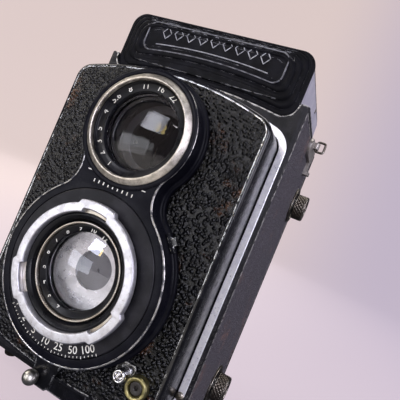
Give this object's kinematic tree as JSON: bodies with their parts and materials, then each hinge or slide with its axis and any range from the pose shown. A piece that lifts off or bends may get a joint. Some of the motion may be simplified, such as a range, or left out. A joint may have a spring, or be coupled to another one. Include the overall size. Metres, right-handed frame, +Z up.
{
  "type": "twin lens reflex camera",
  "caption": "Box camera with a viewing lens above a taking lens on a sliding board, folding finder hood on top, knobs at the sides and a hinged back",
  "frame": {"origin": "middle of the tripod socket's open face, level with the underside of the feet", "axes": "+Z is up, the lenses look along -Y, +X is at the right of someone facing the lenses"},
  "size_m": [0.0893, 0.0955, 0.1353],
  "materials": {
    "black_enamel": "gloss black stove enamel, worn at the edges",
    "black_crackle": "fine-grained black enamel",
    "leather": "pebbled black leather",
    "satin_chrome": "satin chrome",
    "bright_chrome": "polished chrome",
    "nickel": "aged nickel",
    "grey_enamel": "plain grey enamel",
    "shutter_grey": "grey shutter plate",
    "steel": "plain steel",
    "brass": "aged brass",
    "glass": "coated optical glass",
    "ground": "finely ground glass",
    "mirror": "front-silvered glass",
    "red_window": "deep red window",
    "bakelite": "black bakelite"
  },
  "bodies": {
    "body": {"body_shell": "black_crackle", "side_leathers": "leather", "front_flange": "satin_chrome", "case_screws": "nickel", "nameplate": "black_enamel", "finder_housing": "grey_enamel", "hinge_pins": "steel", "ground_glass": "ground", "reflex_mirror": "mirror", "film_gate": "black_crackle", "light_baffle": "black_crackle", "strap_lugs": "nickel", "knob_washers": "nickel", "focus_scale_plate": "satin_chrome", "latch_catch": "black_enamel"},
    "lens_board": {"board_shell": "black_enamel", "board_leather": "leather", "bezel_plate": "black_enamel", "viewing_barrel": "black_enamel", "viewing_ring": "satin_chrome", "viewing_glass": "glass", "shutter_housing": "black_enamel", "shutter_face": "black_enamel", "bayonet_ring": "bright_chrome", "taking_cell": "black_enamel", "taking_glass": "glass", "aperture_blades": "steel", "cable_socket": "bright_chrome", "sync_collar": "brass", "sync_insulator": "bakelite"},
    "cocking_lever": {"shutter_lever": "black_enamel", "lever_stud": "bright_chrome"},
    "speed": {"speed_ring": "shutter_grey"},
    "aperture": {"aperture_lever": "steel"},
    "focusing": {"focus_knob": "nickel", "focus_shaft": "steel"},
    "winding": {"winding_knob": "nickel", "winding_shaft": "steel", "takeup_spool": "black_enamel"},
    "counter": {"counter_dial": "satin_chrome"},
    "upper_pull": {"upper_spool_knob": "nickel"},
    "lower_pull": {"lower_spool_knob": "nickel"},
    "upper_roller": {"upper_film_roller": "bright_chrome"},
    "lower_roller": {"lower_film_roller": "bright_chrome"},
    "lid": {"hood_lid": "black_enamel"},
    "side_left": {"hood_side_left": "black_enamel"},
    "side_right": {"hood_side_right": "black_enamel"},
    "rear_flap": {"hood_rear_panel": "black_enamel"},
    "magnifier": {"magnifier_frame": "black_enamel", "magnifier_lens": "glass"},
    "right_loop": {"right_strap_loop": "nickel"},
    "left_loop": {"left_strap_loop": "nickel"},
    "door": {"back_door": "black_crackle", "door_leather": "leather", "door_feet": "nickel", "tripod_bush": "steel", "window_glass": "red_window"},
    "latch": {"door_latch": "nickel"},
    "pressure": {"pressure_plate": "black_enamel"},
    "cover": {"window_cover": "black_enamel"}
  },
  "joints": [
    {"name": "board_slide", "type": "slide", "parent": "body", "child": "lens_board", "axis": [0, -1, 0], "range_m": [0, 0.0065]},
    {"name": "focus_turn", "type": "hinge", "parent": "body", "child": "focusing", "pos_m": [-0.045, -0.016, 0.072], "axis": [-1, 0, 0], "range_deg": [-5, 230]},
    {"name": "cocking_swing", "type": "hinge", "parent": "lens_board", "child": "cocking_lever", "pos_m": [0, -0.0495, 0.0493], "axis": [0, -1, 0], "range_deg": [-18, 18], "stiffness_Nm_per_rad": 0.004},
    {"name": "speed_turn", "type": "hinge", "parent": "lens_board", "child": "speed", "pos_m": [0, -0.0495, 0.0493], "axis": [0, -1, 0], "range_deg": [-120, 120]},
    {"name": "aperture_swing", "type": "hinge", "parent": "lens_board", "child": "aperture", "pos_m": [0, -0.0495, 0.0493], "axis": [0, -1, 0], "range_deg": [-44, 0]},
    {"name": "winding_turn", "type": "hinge", "parent": "body", "child": "winding", "pos_m": [-0.044, 0.0189, 0.0944], "axis": [-1, 0, 0], "continuous": true},
    {"name": "counter_turn", "type": "hinge", "parent": "body", "child": "counter", "pos_m": [-0.038, 0.0015, 0.0944], "axis": [-1, 0, 0], "continuous": true},
    {"name": "upper_pull_out", "type": "slide", "parent": "body", "child": "upper_pull", "axis": [1, 0, 0], "range_m": [0, 0.006], "stiffness_N_per_m": 300},
    {"name": "lower_pull_out", "type": "slide", "parent": "body", "child": "lower_pull", "axis": [1, 0, 0], "range_m": [0, 0.006], "stiffness_N_per_m": 300},
    {"name": "upper_roller_turn", "type": "hinge", "parent": "body", "child": "upper_roller", "pos_m": [0, 0.0254, 0.0796], "axis": [1, 0, 0], "continuous": true},
    {"name": "lower_roller_turn", "type": "hinge", "parent": "body", "child": "lower_roller", "pos_m": [0, 0.025, 0.0167], "axis": [1, 0, 0], "continuous": true},
    {"name": "lid_lift", "type": "hinge", "parent": "body", "child": "lid", "pos_m": [0, -0.03, 0.1346], "axis": [1, 0, 0], "range_deg": [0, 90]},
    {"name": "left_panel_lift", "type": "hinge", "parent": "body", "child": "side_left", "pos_m": [-0.0316, 0, 0.1218], "axis": [0, -1, 0], "range_deg": [0, 90]},
    {"name": "right_panel_lift", "type": "hinge", "parent": "body", "child": "side_right", "pos_m": [0.0316, 0, 0.1218], "axis": [0, 1, 0], "range_deg": [0, 90]},
    {"name": "rear_flap_lift", "type": "hinge", "parent": "body", "child": "rear_flap", "pos_m": [0, 0.0172, 0.1208], "axis": [-1, 0, 0], "range_deg": [0, 90]},
    {"name": "magnifier_swing", "type": "hinge", "parent": "lid", "child": "magnifier", "pos_m": [0, -0.004, 0.1324], "axis": [-1, 0, 0], "range_deg": [0, 90]},
    {"name": "right_loop_swing", "type": "hinge", "parent": "body", "child": "right_loop", "pos_m": [0.0393, 0.002, 0.1187], "axis": [0, 0, 1], "range_deg": [-60, 60]},
    {"name": "left_loop_swing", "type": "hinge", "parent": "body", "child": "left_loop", "pos_m": [-0.0393, 0.002, 0.1187], "axis": [0, 0, 1], "range_deg": [-60, 60]},
    {"name": "door_open", "type": "hinge", "parent": "body", "child": "door", "pos_m": [0, 0.0343, 0.11165], "axis": [1, 0, 0], "range_deg": [0, 110]},
    {"name": "latch_turn", "type": "hinge", "parent": "door", "child": "latch", "pos_m": [0, -0.0205, 0.002], "axis": [0, 0, 1], "range_deg": [0, 90]},
    {"name": "pressure_back", "type": "slide", "parent": "door", "child": "pressure", "axis": [0, 1, 0], "range_m": [0, 0.002], "stiffness_N_per_m": 40},
    {"name": "cover_swing", "type": "hinge", "parent": "door", "child": "cover", "pos_m": [0, 0.0335, 0.039], "axis": [0, 1, 0], "range_deg": [0, 120]}
  ],
  "couplings": [
    {"joint": "focus_turn", "follows": "board_slide", "rad_per_m": 600},
    {"joint": "counter_turn", "follows": "winding_turn", "ratio": 0.1},
    {"joint": "left_panel_lift", "follows": "lid_lift", "ratio": 1},
    {"joint": "right_panel_lift", "follows": "lid_lift", "ratio": 1},
    {"joint": "rear_flap_lift", "follows": "lid_lift", "ratio": 1},
    {"joint": "magnifier_swing", "follows": "lid_lift", "ratio": 1}
  ]
}
